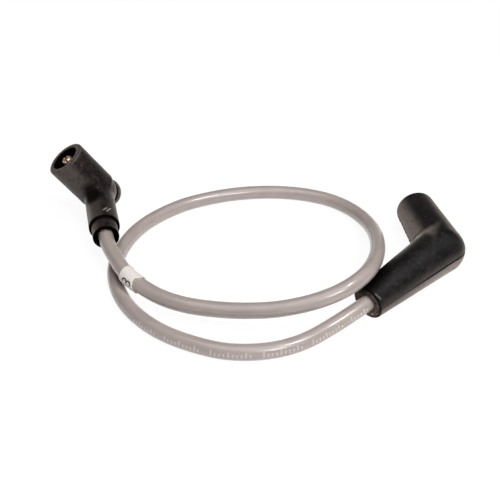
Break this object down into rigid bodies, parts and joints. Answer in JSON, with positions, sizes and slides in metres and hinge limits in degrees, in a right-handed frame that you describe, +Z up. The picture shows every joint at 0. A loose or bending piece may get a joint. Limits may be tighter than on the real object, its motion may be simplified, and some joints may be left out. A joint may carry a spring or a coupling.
{
  "type": "spark plug wire",
  "caption": "Coiled silicone ignition lead with a right-angled rubber coil boot, an open-elbow rubber plug boot and crimped brass terminals.",
  "frame": {"origin": "middle of the box round the two boots and their terminals, on the plane that the wire lies on", "axes": "+X from the coil boot's side towards the plug boot's side, +Y away from the viewer of the picture, +Z up from the plane the wire lies on"},
  "size_m": [0.1998, 0.1301, 0.0399],
  "materials": {
    "boot_rubber": "satin",
    "lead_silicone": "satin",
    "conductor": "matte",
    "terminal_brass": "satin",
    "clip_steel": "satin",
    "sleeve_vinyl": "satin"
  },
  "bodies": {
    "root": {"lead_jacket": "lead_silicone", "lead_conductor": "conductor", "number_sleeve": "sleeve_vinyl", "coil_boot": "boot_rubber", "coil_boot_seal": "boot_rubber", "coil_terminal": "terminal_brass", "plug_boot": "boot_rubber", "plug_terminal": "terminal_brass", "plug_terminal_clip": "clip_steel"}
  },
  "joints": []
}
